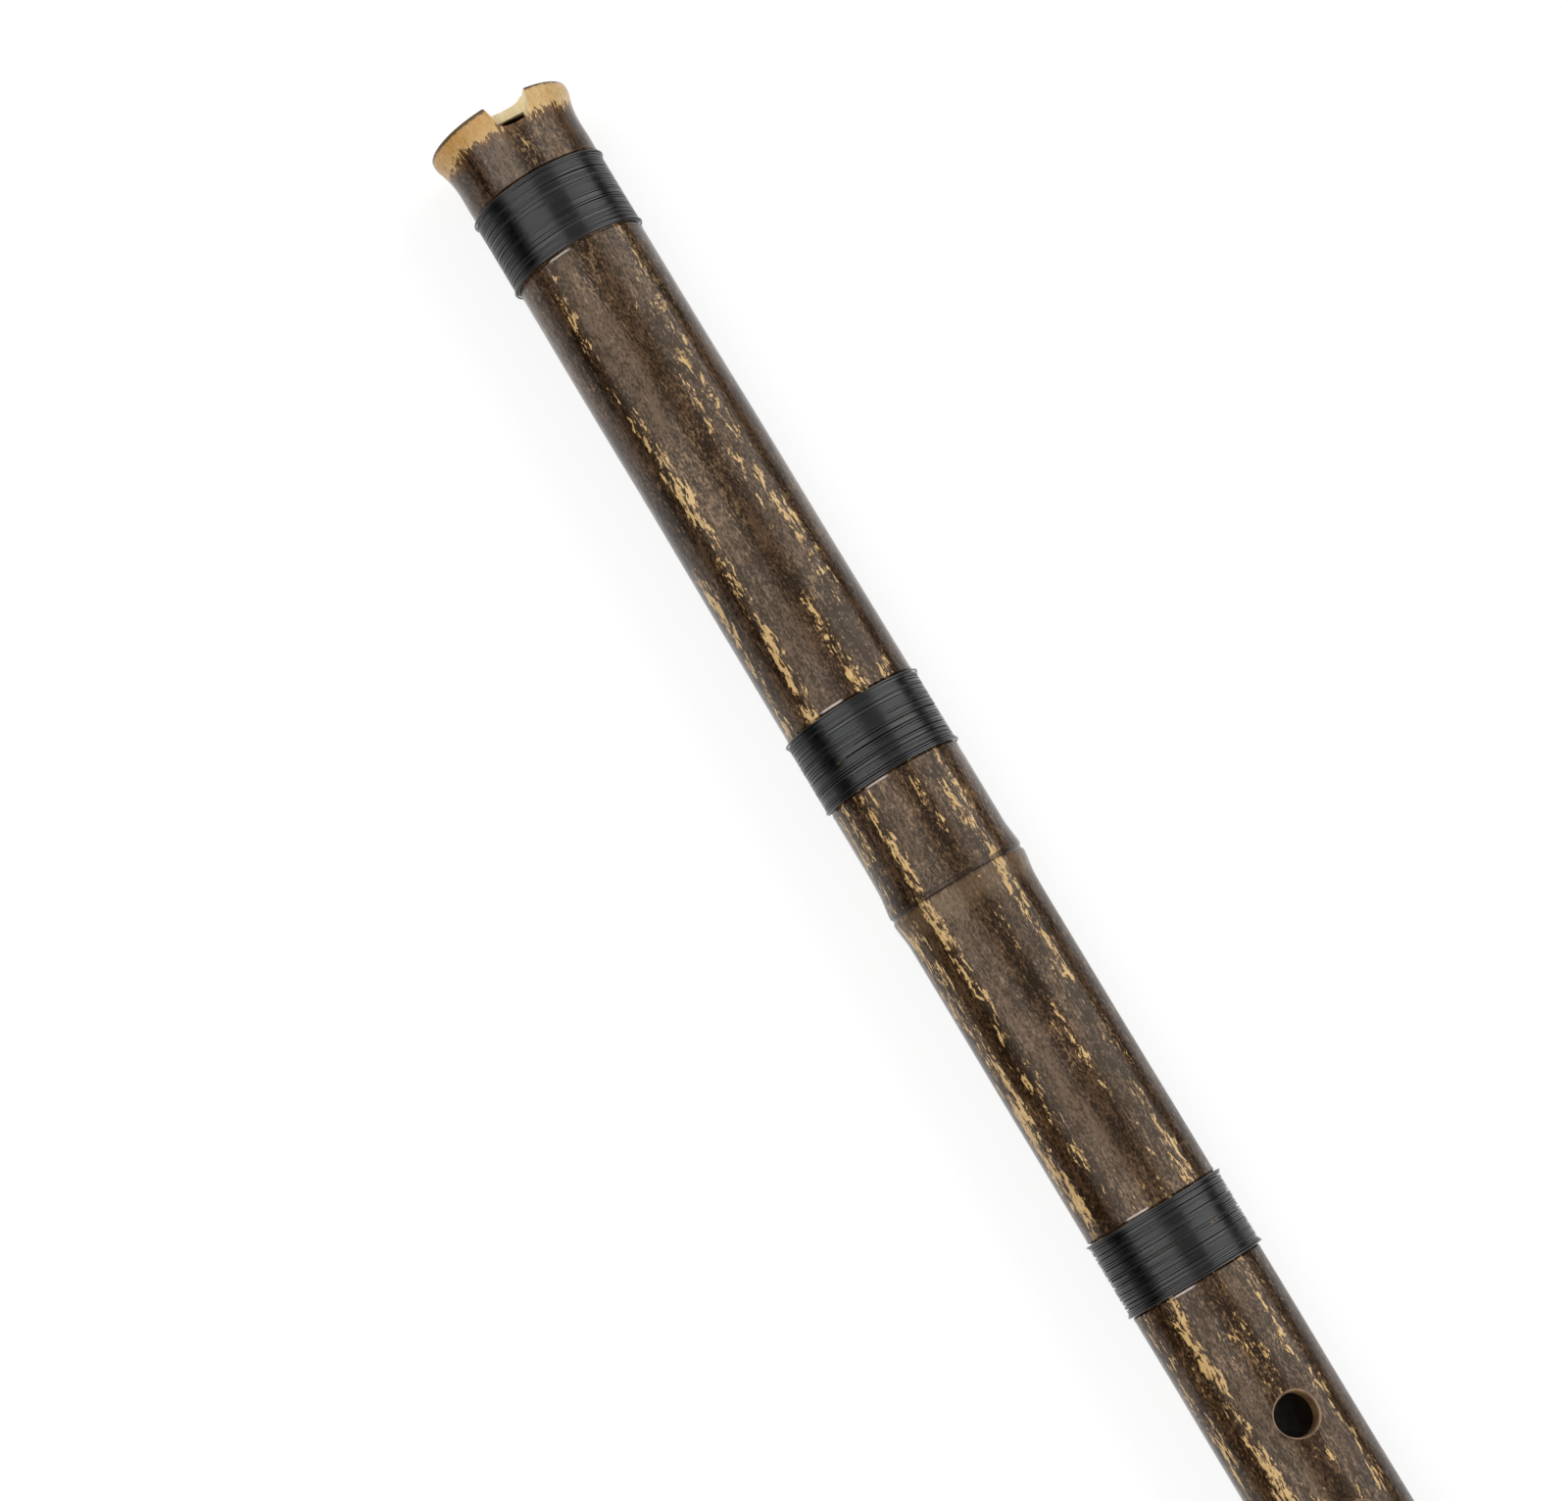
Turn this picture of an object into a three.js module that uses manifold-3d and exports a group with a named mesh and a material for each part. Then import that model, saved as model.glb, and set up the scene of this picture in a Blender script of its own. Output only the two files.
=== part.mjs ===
// A xiao: a Chinese end-blown flute, made from one length of mottled bamboo and bound in six places with
// black thread. It lies on its side on its two flared ends. X runs along the flute with the mouth end at +X,
// Z is up, and the blowing notch and the front finger holes face up. The origin is on the table, under the
// middle of the flute. All sizes are in millimetres.
import * as THREE from 'three';
import { mergeVertices } from 'three/addons/utils/BufferGeometryUtils.js';
import Module from 'manifold-3d';

const wasm = await Module();
wasm.setup();

// Places along the flute are distances from the mouth end's rim. Angles round it are measured from the top.
const LENGTH = 720;
const RIM_RADIUS = 14.3;
const CULM_RADIUS_AT_MOUTH = 12.95;
const CULM_RADIUS_AT_WIDEST = 13.25;
const CULM_RADIUS_AT_FOOT = 12.7;
const WIDEST_PLACE = 150;
const FLARE_LENGTH = 11;
const FLARE_POWER = 2.6;
const RIM_EDGE_RADIUS = 0.7;
const RIM_LAND = 0.9;
const SIDES = 36;

// The bamboo's joints: the flute is cut at one at each end, and four more stand between them.
const NODE_PLACES = [165, 313, 455, 590];
const NODE_SWELLING = 0.5;
const NODE_HALF_WIDTH = 6;
const SCAR_DEPTH = 0.35;
const SCAR_HALF_WIDTH = 0.8;

// Each internode is flattened along one side, on alternate sides from joint to joint.
const GROOVE_DEPTH = 0.35;
const GROOVE_FADE_LENGTH = 11;
const GROOVE_HALF_ANGLE = THREE.MathUtils.degToRad(32);
const FIRST_GROOVE_ANGLE = THREE.MathUtils.degToRad(85);

const BORE_RADIUS = 8.75;
const BORE_RIDGE = 0.5;
const BORE_RIDGE_HALF_WIDTH = 2;
const BORE_LEAD_IN = 0.6;

// The joint at the mouth end is left closed: its wall is the end of the bore.
const SEPTUM_TOP = 0.9;
const SEPTUM_THICKNESS = 1.9;
const SEPTUM_DISH_RADIUS = 9.8;
const SEPTUM_CORNER = 0.8;

// The blowing notch is narrower at its lip than at the rim, and the lip is a shallow curve.
const NOTCH_WIDTH_AT_RIM = 8.7;
const NOTCH_WIDTH_AT_LIP = 6.4;
const NOTCH_SIDE_DEPTH = 4;
const NOTCH_DEPTH = 5.2;
const NOTCH_FLOOR_HEIGHT = 9;
const LIP_THICKNESS = 0.9;
const LIP_BEVEL_LENGTH = 8;
const LIP_BEVEL_WIDTH = 6.2;

const FRONT_HOLES = [276, 298, 328, 368, 416, 440, 497];
const THUMB_HOLE = 262;
const BACK_VENTS = [560, 612];
const FINGER_HOLE_RADIUS = 4;
const VENT_RADIUS = 3.4;
const HOLE_SIDES = 20;
const HOLE_EDGE = 0.5;

// A binding lies in a shallow seat. Its fine thread is drawn as one broad strand with fewer turns, whose two
// ends lie at the back.
const BINDINGS = [
  { name: 'mouth', start: 14.7, width: 15.5 },
  { name: 'upper', start: 127.5, width: 15 },
  { name: 'above_thumb_hole', start: 232.5, width: 15 },
  { name: 'between_hands', start: 340.5, width: 15 },
  { name: 'below_holes', start: 519.5, width: 15 },
  { name: 'foot', start: 693.3, width: 15 },
];
const SEAT_DEPTH = 0.4;
const SEAT_EDGE = 0.3;
const STRAND_CLEARANCE = 0.05;
const STRAND_WIDTH = 1.45;
const STRAND_TOP_WIDTH = 0.95;
const STRAND_HEIGHT = 0.85;
const STRAND_PITCH = 1.9;
const STEPS_PER_TURN = 24;
const STRAND_START_ANGLE = Math.PI;
const LEAST_STRAND_GAP = 0.4;

const AXIS_HEIGHT = RIM_RADIUS;
const STAIN = new THREE.MeshStandardMaterial({ color: 0x4a3a2c, roughness: 0.35, metalness: 0 });
const THREAD = new THREE.MeshStandardMaterial({ color: 0x17171a, roughness: 0.45, metalness: 0 });

const along = (distance) => LENGTH / 2 - distance;
const bump = (t) => (Math.abs(t) < 1 ? (1 + Math.cos(Math.PI * t)) / 2 : 0);

// The culm's own radius: it grows a little from the mouth end, then tapers to the foot, and swells at each
// joint. Both ends are flared, up to a narrow straight land that the flute lies on.
function culmRadius(distance) {
  const { lerp } = THREE.MathUtils;
  const plain = distance < WIDEST_PLACE
    ? lerp(CULM_RADIUS_AT_MOUTH, CULM_RADIUS_AT_WIDEST, distance / WIDEST_PLACE)
    : lerp(CULM_RADIUS_AT_WIDEST, CULM_RADIUS_AT_FOOT, (distance - WIDEST_PLACE) / (LENGTH - WIDEST_PLACE));
  const landEnd = RIM_EDGE_RADIUS + RIM_LAND;
  const flareShare = (FLARE_LENGTH - Math.min(distance, LENGTH - distance)) / (FLARE_LENGTH - landEnd);
  const flare = THREE.MathUtils.clamp(flareShare, 0, 1) ** FLARE_POWER * (RIM_RADIUS - plain);
  const joints = NODE_PLACES.map((place) => {
    const offset = distance - place;
    return NODE_SWELLING * bump(offset / NODE_HALF_WIDTH) - SCAR_DEPTH * bump(offset / SCAR_HALF_WIDTH);
  });
  return plain + flare + joints.reduce((sum, height) => sum + height, 0);
}

function nearBinding(distance) {
  return BINDINGS.some(({ start, width }) => distance > start - 1 && distance < start + width + 1);
}

function seatRadius({ start, width }) {
  return culmRadius(start + width / 2) - SEAT_DEPTH;
}

// How far the flattened side of an internode lies below the round culm. It fades out at each joint.
function grooveDepth(distance, angle) {
  const joints = [0, ...NODE_PLACES, LENGTH];
  const internode = joints.findIndex((joint, i) => distance <= joints[i + 1]);
  const [from, to] = [joints[internode], joints[internode + 1]];
  const centre = FIRST_GROOVE_ANGLE + internode * Math.PI;
  const away = Math.abs(Math.atan2(Math.sin(angle - centre), Math.cos(angle - centre)));
  const fade = Math.min(1, (distance - from) / GROOVE_FADE_LENGTH, (to - distance) / GROOVE_FADE_LENGTH);
  return GROOVE_DEPTH * bump(away / GROOVE_HALF_ANGLE) * Math.max(0, fade);
}

// The distances at which the outside of the culm has a ring of points.
function outerStations() {
  const fromRim = [RIM_EDGE_RADIUS, RIM_EDGE_RADIUS + RIM_LAND, 2.8, 4.6, 7, FLARE_LENGTH];
  const besideJoint = [0, SCAR_HALF_WIDTH, NODE_HALF_WIDTH / 2, NODE_HALF_WIDTH, GROOVE_FADE_LENGTH];
  const stations = new Set(fromRim.flatMap((d) => [d, LENGTH - d]));
  for (const place of NODE_PLACES) {
    for (const offset of besideJoint) stations.add(place - offset).add(place + offset);
  }
  return [...stations].filter((distance) => !nearBinding(distance));
}

// The outline that is turned round the axis: out along the culm, over the rims, and back along the bore.
function culmOutline() {
  const outside = outerStations().map((d) => [culmRadius(d), d]);
  for (const binding of BINDINGS) {
    const [start, end] = [binding.start, binding.start + binding.width];
    const seat = seatRadius(binding);
    outside.push([culmRadius(start - SEAT_EDGE), start - SEAT_EDGE], [seat, start]);
    outside.push([seat, end], [culmRadius(end + SEAT_EDGE), end + SEAT_EDGE]);
  }
  outside.sort((a, b) => a[1] - b[1]);

  const septumBottom = SEPTUM_TOP + SEPTUM_THICKNESS;
  const mouth = [
    [0, SEPTUM_TOP],
    [SEPTUM_DISH_RADIUS - SEPTUM_CORNER, SEPTUM_TOP],
    [SEPTUM_DISH_RADIUS, 0],
    [RIM_RADIUS - RIM_EDGE_RADIUS, 0],
    [RIM_RADIUS - RIM_EDGE_RADIUS * 0.3, RIM_EDGE_RADIUS * 0.3],
  ];
  const foot = [
    [RIM_RADIUS - RIM_EDGE_RADIUS * 0.3, LENGTH - RIM_EDGE_RADIUS * 0.3],
    [RIM_RADIUS - RIM_EDGE_RADIUS, LENGTH],
    [BORE_RADIUS + BORE_LEAD_IN, LENGTH],
    [BORE_RADIUS, LENGTH - BORE_LEAD_IN],
  ];
  const bore = [...NODE_PLACES].reverse().flatMap((place) => [
    [BORE_RADIUS, place + BORE_RIDGE_HALF_WIDTH],
    [BORE_RADIUS - BORE_RIDGE, place],
    [BORE_RADIUS, place - BORE_RIDGE_HALF_WIDTH],
  ]);
  const blindEnd = [
    [BORE_RADIUS, septumBottom + SEPTUM_CORNER],
    [BORE_RADIUS - SEPTUM_CORNER, septumBottom],
    [0, septumBottom],
  ];
  return [...mouth, ...outside, ...foot, ...bore, ...blindEnd];
}

// A lathe turns its outline about +Y, so the outline's height becomes X here, with a flat side downwards.
function turned(outline) {
  const facet = 1 / Math.cos(Math.PI / SIDES);
  const points = outline.map(([radius, distance]) => new THREE.Vector2(radius * facet, along(distance)));
  const geometry = new THREE.LatheGeometry(points.reverse(), SIDES, Math.PI / SIDES);
  geometry.rotateZ(-Math.PI / 2);
  return geometry;
}

function flattenInternodes(geometry) {
  const place = geometry.getAttribute('position');
  for (let i = 0; i < place.count; i += 1) {
    const [x, y, z] = [place.getX(i), place.getY(i), place.getZ(i)];
    const radius = Math.hypot(y, z);
    const distance = LENGTH / 2 - x;
    if (radius < (BORE_RADIUS + CULM_RADIUS_AT_FOOT) / 2) continue;
    const share = 1 - grooveDepth(distance, Math.atan2(y, z)) / radius;
    place.setXYZ(i, x, y * share, z * share);
  }
  return geometry;
}

function toSolid(geometry) {
  const bare = geometry.index ? geometry.toNonIndexed() : geometry.clone();
  bare.deleteAttribute('normal');
  bare.deleteAttribute('uv');
  const merged = mergeVertices(bare, 1e-4);
  const mesh = new wasm.Mesh({
    numProp: 3,
    vertProperties: merged.getAttribute('position').array,
    triVerts: new Uint32Array(merged.index.array),
  });
  return new wasm.Manifold(mesh);
}

function toGeometry(solid) {
  const { vertProperties, triVerts, numProp } = solid.getMesh();
  const count = vertProperties.length / numProp;
  const place = new Float32Array(count * 3);
  for (let i = 0; i < count; i += 1) {
    for (let axis = 0; axis < 3; axis += 1) place[i * 3 + axis] = vertProperties[i * numProp + axis];
  }
  const geometry = new THREE.BufferGeometry();
  geometry.setAttribute('position', new THREE.BufferAttribute(place, 3));
  geometry.setIndex(new THREE.BufferAttribute(new Uint32Array(triVerts), 1));
  return geometry;
}

// The blowing notch: a slot filed down through the rim and the edge of the joint's wall.
function notchCutter() {
  const [rimHalf, lipHalf] = [NOTCH_WIDTH_AT_RIM / 2, NOTCH_WIDTH_AT_LIP / 2];
  const clear = 2;
  const outline = new THREE.Shape();
  outline.moveTo(along(-clear), -rimHalf);
  outline.lineTo(along(-clear), rimHalf);
  outline.lineTo(along(0), rimHalf);
  outline.lineTo(along(NOTCH_SIDE_DEPTH), lipHalf);
  outline.absellipse(
    along(NOTCH_SIDE_DEPTH), 0, NOTCH_DEPTH - NOTCH_SIDE_DEPTH, lipHalf, Math.PI / 2, 1.5 * Math.PI, false,
  );
  outline.lineTo(along(0), -rimHalf);
  outline.closePath();
  const depth = RIM_RADIUS + clear - NOTCH_FLOOR_HEIGHT;
  const geometry = new THREE.ExtrudeGeometry(outline, { depth, bevelEnabled: false, curveSegments: 8 });
  geometry.translate(0, 0, NOTCH_FLOOR_HEIGHT);
  return geometry;
}

// The lip is thinned from inside the bore, so that the air meets a narrow edge at the foot of the notch.
function lipBevelCutter() {
  const edgeHeight = CULM_RADIUS_AT_MOUTH - LIP_THICKNESS;
  const start = SEPTUM_TOP + SEPTUM_THICKNESS;
  const slope = new THREE.Shape();
  slope.moveTo(along(start), BORE_RADIUS - 1.5);
  slope.lineTo(along(start), edgeHeight);
  slope.lineTo(along(NOTCH_DEPTH), edgeHeight);
  slope.lineTo(along(NOTCH_DEPTH + LIP_BEVEL_LENGTH), BORE_RADIUS - 1.5);
  slope.closePath();
  const geometry = new THREE.ExtrudeGeometry(slope, { depth: LIP_BEVEL_WIDTH, bevelEnabled: false });
  geometry.rotateX(Math.PI / 2);
  geometry.translate(0, LIP_BEVEL_WIDTH / 2, 0);
  return geometry;
}

// A hole drilled from the front (side 1) or the back (side -1), with its outer edge eased for the finger.
function holeCutters(distance, radius, side) {
  const surface = culmRadius(distance);
  const drill = new THREE.CylinderGeometry(radius, radius, surface, HOLE_SIDES);
  drill.translate(0, surface / 2 + BORE_RADIUS / 2, 0);
  const ease = new THREE.CylinderGeometry(radius + 4 * HOLE_EDGE, radius, 4 * HOLE_EDGE, HOLE_SIDES);
  ease.translate(0, surface + HOLE_EDGE, 0);
  for (const cutter of [drill, ease]) cutter.rotateX((side * Math.PI) / 2).translate(along(distance), 0, 0);
  return [drill, ease];
}

function bambooBody() {
  const cutters = [notchCutter(), lipBevelCutter()];
  for (const place of FRONT_HOLES) cutters.push(...holeCutters(place, FINGER_HOLE_RADIUS, 1));
  cutters.push(...holeCutters(THUMB_HOLE, FINGER_HOLE_RADIUS, -1));
  for (const place of BACK_VENTS) cutters.push(...holeCutters(place, VENT_RADIUS, -1));
  const blank = toSolid(flattenInternodes(turned(culmOutline())));
  return toGeometry(cutters.reduce((solid, cutter) => solid.subtract(toSolid(cutter)), blank));
}

// One unbroken strand that winds along the binding. Each ring of its section is placed by formula, and the
// two ends run on straight for one strand's width.
function woundStrand(binding) {
  const facet = Math.cos(Math.PI / SIDES) * Math.cos(Math.PI / STEPS_PER_TURN);
  const base = (seatRadius(binding) + STRAND_CLEARANCE) / facet;
  const [low, high] = [STRAND_WIDTH / 2, STRAND_TOP_WIDTH / 2];
  const section = [[-low, 0], [-high, STRAND_HEIGHT], [high, STRAND_HEIGHT], [low, 0]];
  const turns = Math.floor((binding.width - STRAND_WIDTH) / STRAND_PITCH);
  const first = binding.start + (binding.width - turns * STRAND_PITCH) / 2;
  const steps = turns * STEPS_PER_TURN;
  const points = [];
  for (let ring = -1; ring <= steps + 1; ring += 1) {
    const step = THREE.MathUtils.clamp(ring, 0, steps);
    const straight = (ring - step) * STRAND_WIDTH;
    const angle = STRAND_START_ANGLE + (step / STEPS_PER_TURN) * 2 * Math.PI;
    const centre = first + (step / STEPS_PER_TURN) * STRAND_PITCH;
    const [sine, cosine] = [Math.sin(angle), Math.cos(angle)];
    for (const [across, height] of section) {
      const radius = base + height;
      const [y, z] = [radius * sine + straight * cosine, radius * cosine - straight * sine];
      points.push(along(centre + across), y, z);
    }
  }
  const corners = section.length;
  const last = points.length / 3 - corners;
  const faces = [0, 1, 2, 0, 2, 3, last, last + 2, last + 1, last, last + 3, last + 2];
  for (let ring = 0; ring < last; ring += corners) {
    for (let corner = 0; corner < corners; corner += 1) {
      const [a, b] = [ring + corner, ring + ((corner + 1) % corners)];
      faces.push(a, a + corners, b, b, a + corners, b + corners);
    }
  }
  const geometry = new THREE.BufferGeometry();
  geometry.setAttribute('position', new THREE.Float32BufferAttribute(points, 3));
  geometry.setIndex(faces);
  return geometry;
}

// The least gap between one turn of a strand and the next, measured on the rings' points.
function leastGap(geometry) {
  const place = geometry.getAttribute('position');
  const perTurn = STEPS_PER_TURN * 4;
  const [here, there] = [new THREE.Vector3(), new THREE.Vector3()];
  let least = Infinity;
  for (let i = 0; i < place.count; i += 1) {
    here.fromBufferAttribute(place, i);
    for (let j = i + perTurn - 4; j < Math.min(place.count, i + perTurn + 8); j += 1) {
      least = Math.min(least, here.distanceTo(there.fromBufferAttribute(place, j)));
    }
  }
  return least;
}

function named(name, geometry, material) {
  const mesh = new THREE.Mesh(geometry, material);
  mesh.name = name;
  return mesh;
}

const xiao = new THREE.Group();
xiao.position.z = AXIS_HEIGHT;
xiao.add(named('bamboo_body', bambooBody(), STAIN));
for (const binding of BINDINGS) {
  const name = `binding_${binding.name}`;
  const strand = woundStrand(binding);
  const gap = leastGap(strand);
  console.log(`${name}: least gap between turns ${gap.toFixed(2)} mm`);
  if (gap < LEAST_STRAND_GAP) throw new Error(`the turns of ${name} lie too close together`);
  xiao.add(named(name, strand, THREAD));
}

export default xiao;
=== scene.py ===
# A xiao, an end-blown flute of mottled bamboo with six thread bindings, lying on its side on a pale table.
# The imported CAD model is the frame: metres, X along the flute with the mouth end at +X, Z up from the table.
import math

import bmesh
import bpy
import numpy as np
from mathutils import Euler, Matrix, Vector


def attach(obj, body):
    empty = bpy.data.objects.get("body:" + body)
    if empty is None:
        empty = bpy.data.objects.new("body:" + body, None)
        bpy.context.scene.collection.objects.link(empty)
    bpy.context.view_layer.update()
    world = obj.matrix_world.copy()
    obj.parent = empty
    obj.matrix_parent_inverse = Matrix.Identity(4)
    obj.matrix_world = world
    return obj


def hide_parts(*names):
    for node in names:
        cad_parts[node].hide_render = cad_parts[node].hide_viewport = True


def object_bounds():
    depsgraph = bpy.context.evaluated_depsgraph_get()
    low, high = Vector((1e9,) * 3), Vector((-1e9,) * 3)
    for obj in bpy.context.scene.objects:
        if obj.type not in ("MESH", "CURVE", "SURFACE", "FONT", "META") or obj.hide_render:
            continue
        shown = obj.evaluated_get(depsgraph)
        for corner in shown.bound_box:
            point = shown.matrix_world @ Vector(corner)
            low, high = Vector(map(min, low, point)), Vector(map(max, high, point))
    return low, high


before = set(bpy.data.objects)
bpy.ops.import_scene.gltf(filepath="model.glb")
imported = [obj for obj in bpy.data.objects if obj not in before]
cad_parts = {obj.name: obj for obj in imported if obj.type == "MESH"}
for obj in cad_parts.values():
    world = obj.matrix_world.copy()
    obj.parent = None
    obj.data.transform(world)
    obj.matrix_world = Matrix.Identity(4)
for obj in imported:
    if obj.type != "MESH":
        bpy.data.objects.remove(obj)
cad_low, cad_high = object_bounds()


# The bamboo body
# One length of bamboo, cut at a joint at both ends, stained, mottled and lacquered. The mouth end keeps the
# joint's wall, into which the blowing notch is filed. The rims flare where the joints swell.
MM = 0.001
LENGTH = (cad_high.x - cad_low.x) / MM
AXIS_HEIGHT = (cad_high.z - cad_low.z) / 2
RIM_RADIUS = AXIS_HEIGHT / MM

# Sizes are in millimetres. A distance is along the flute from the mouth rim, an angle round it from the top.
RADIUS_AT_MOUTH = 12.95
RADIUS_AT_WIDEST = 13.25
RADIUS_AT_FOOT = 12.7
WIDEST_PLACE = 150.0
FLARE_LENGTH = 11.0
FLARE_POWER = 2.6
RIM_EDGE = 0.7
RIM_LAND = 0.9

JOINTS = (165.0, 313.0, 455.0, 590.0)
JOINT_SWELLING = 0.5
JOINT_HALF_WIDTH = 6.0
SCAR_DEPTH = 0.35
SCAR_HALF_WIDTH = 0.8

# Each internode is flattened along one side. The flat's two shoulders are faint creases.
FLAT_DEPTH = 0.35
FLAT_FADE = 11.0
FLAT_HALF_ANGLE = math.radians(32)
FIRST_FLAT_ANGLE = math.radians(85)

# The culm is a little fuller before the first binding, and its skin wavers slightly between the two ends.
FULLNESS = 0.28
FULLNESS_PLACE = 11.5
FULLNESS_HALF_WIDTH = 7.0
LONG_WAVE = 0.045
SHORT_WAVE = 0.03
WAVE_INSET = 0.04
CALM_END = 2.0
CALM_FADE = 8.0

BORE_RADIUS = 8.75
BORE_RIDGE = 0.5
BORE_RIDGE_HALF_WIDTH = 2.4
SEPTUM_TOP = 0.9
SEPTUM_BOTTOM = 2.8

# The bindings' seats: name, distance from the mouth rim, width, and the angle at which the turns cross.
BINDINGS = (
    ("mouth", 14.7, 15.5, 205.0),
    ("upper", 127.5, 15.0, 160.0),
    ("above_thumb_hole", 232.5, 15.0, 215.0),
    ("between_hands", 340.5, 15.0, 150.0),
    ("below_holes", 519.5, 15.0, 200.0),
    ("foot", 693.3, 15.0, 8.0),
)
SEAT_DEPTH = 0.4
SEAT_EDGE = 0.3
SEAT_LIP = 0.07
SEAT_LIP_PLACE = 0.62
SEAT_LIP_HALF_WIDTH = 0.34


def bump(t):
    """A round hill, 1 high at 0 and flat past -1 and 1."""
    t = np.abs(t)
    return np.where(t < 1, (1 + np.cos(np.pi * np.minimum(t, 1))) / 2, 0.0)


def smooth(share):
    """A share held between 0 and 1, with a gentle start and end."""
    share = np.clip(share, 0, 1)
    return share * share * (3 - 2 * share)


def round_radius(distance):
    """The culm's radius before it is flattened: a taper, a flare at each end, a swelling at each joint."""
    widths = (RADIUS_AT_MOUTH, RADIUS_AT_WIDEST, RADIUS_AT_FOOT)
    plain = np.interp(distance, (0, WIDEST_PLACE, LENGTH), widths)
    from_end = np.minimum(distance, LENGTH - distance)
    share = (FLARE_LENGTH - from_end) / (FLARE_LENGTH - RIM_EDGE - RIM_LAND)
    flare = np.clip(share, 0, 1) ** FLARE_POWER
    radius = plain + flare * (RIM_RADIUS - plain)
    for place in JOINTS:
        radius = radius + JOINT_SWELLING * bump((distance - place) / JOINT_HALF_WIDTH)
        radius = radius - SCAR_DEPTH * bump((distance - place) / SCAR_HALF_WIDTH)
    return radius


def flatness(distance, angle):
    """1 on the middle of an internode's flattened side. The flats lie on opposite sides in turn."""
    ends = (0.0, *JOINTS, LENGTH)
    flat = 0.0
    for i, (start, end) in enumerate(zip(ends, ends[1:])):
        away = np.abs(np.angle(np.exp(1j * (angle - FIRST_FLAT_ANGLE - i * math.pi))))
        fade = smooth(np.minimum(distance - start, end - distance) / FLAT_FADE)
        flat = flat + fade * np.maximum(0, 1 - (away / FLAT_HALF_ANGLE) ** 2)
    return flat


def unevenness(distance, angle):
    """How far the skin lies from a true round: a long wave and a short one that wander round the culm."""
    sway = LONG_WAVE * np.sin(distance / 17 + 1.3 * np.sin(angle)) * np.cos(2 * angle + distance / 61)
    sway = sway + SHORT_WAVE * np.sin(distance / 7.3 + 2 * angle) * np.cos(3 * angle - distance / 29)
    from_end = np.minimum(distance, LENGTH - distance)
    return np.clip((from_end - CALM_END) / CALM_FADE, 0, 1) * (sway - WAVE_INSET)


def skin_radius(distance, angle):
    """The radius of the finished skin, with the bindings' seats and the lips of lacquer beside them."""
    radius = round_radius(distance) - FLAT_DEPTH * flatness(distance, angle) + unevenness(distance, angle)
    radius = radius + FULLNESS * bump((distance - FULLNESS_PLACE) / FULLNESS_HALF_WIDTH)
    for _, start, width, _ in BINDINGS:
        seat = round_radius(start + width / 2) - SEAT_DEPTH
        outside = np.maximum(start - distance, distance - start - width)
        lip = SEAT_LIP * bump((outside - SEAT_LIP_PLACE) / SEAT_LIP_HALF_WIDTH)
        radius = seat + (radius + lip - seat) * smooth(outside / SEAT_EDGE)
    return radius


# The body's rings of points lie closest where the shape turns, and have extra points at the flats' creases.
RING_SPACING = 3.4
FLARE_RINGS = 22
FLARE_REACH = FLARE_LENGTH + 2
JOINT_RINGS = 17
SCAR_RINGS = 11
SCAR_REACH = 1.2
SEAT_REACH = 1.4
SEAT_RINGS = np.array([-1.2, -0.95, -0.78, -0.62, -0.46, -0.3, -0.22, -0.15, -0.08, 0, 0.4])
NEAREST_RING = 0.02
CULM_SIDES = 144
CREASE_STEPS = (-0.5, 0, 0.5)
NEAREST_ANGLE = 0.003


def stations():
    """Distances along the culm at which the skin has a ring of points."""
    places = list(np.arange(RIM_EDGE, LENGTH - RIM_EDGE, RING_SPACING)) + [LENGTH - RIM_EDGE]
    for end in (0, LENGTH):
        places += list(abs(end - np.linspace(RIM_EDGE, FLARE_REACH, FLARE_RINGS)))
    for joint in JOINTS:
        places += list(joint + np.linspace(-JOINT_HALF_WIDTH, JOINT_HALF_WIDTH, JOINT_RINGS))
        places += list(joint + np.linspace(-SCAR_REACH, SCAR_REACH, SCAR_RINGS))
    places = np.round(places, 3)
    for _, start, width, _ in BINDINGS:
        clear = places[(places < start - SEAT_REACH) | (places > start + width + SEAT_REACH)]
        places = np.concatenate([clear, start + SEAT_RINGS, start + width - SEAT_RINGS, [start + width / 2]])
    places = np.unique(np.round(places, 3))
    return places[np.concatenate([[True], np.diff(places) > NEAREST_RING])]


def angles_round():
    """Angles of a ring's points, with extra ones at the shoulders of the flattened sides."""
    angles = list(np.linspace(0, 2 * math.pi, CULM_SIDES, endpoint=False))
    for side in (FIRST_FLAT_ANGLE, FIRST_FLAT_ANGLE + math.pi):
        for shoulder in (side - FLAT_HALF_ANGLE, side + FLAT_HALF_ANGLE):
            angles += [shoulder + math.radians(step) for step in CREASE_STEPS]
    angles = np.unique(np.round(np.mod(angles, 2 * math.pi), 5))
    return angles[np.concatenate([[True], np.diff(angles) > NEAREST_ANGLE])]


# The mouth end's face is dished down to the joint wall, and the dish's edge is given as radii and distances.
# The bore's edge at the foot and the fillet behind the wall are given as what is added to the bore's radius,
# and how far in from the foot or from the wall.
WALL_RINGS = (1.5, 3.5, 5.5, 7.2, 8.3, 9.0)
DISH_EDGE = ((9.3, 0.78), (9.55, 0.5), (9.7, 0.22), (9.8, 0.0))
MOUTH_FACE = (10.6, 11.6, 12.6, 13.2)
FOOT_FACE = (13.2, 12.4, 11.4, 10.4)
RIM_EDGE_RINGS = 8
BORE_EDGE = ((0.6, 0.0), (0.18, 0.2))
BORE_EDGE_LENGTH = 0.6
BORE_SPACING = 12.0
WALL_FILLET = ((0.0, 0.8), (-0.35, 0.3), (-0.8, 0.0))
WALL_BACK = 4.0
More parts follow.
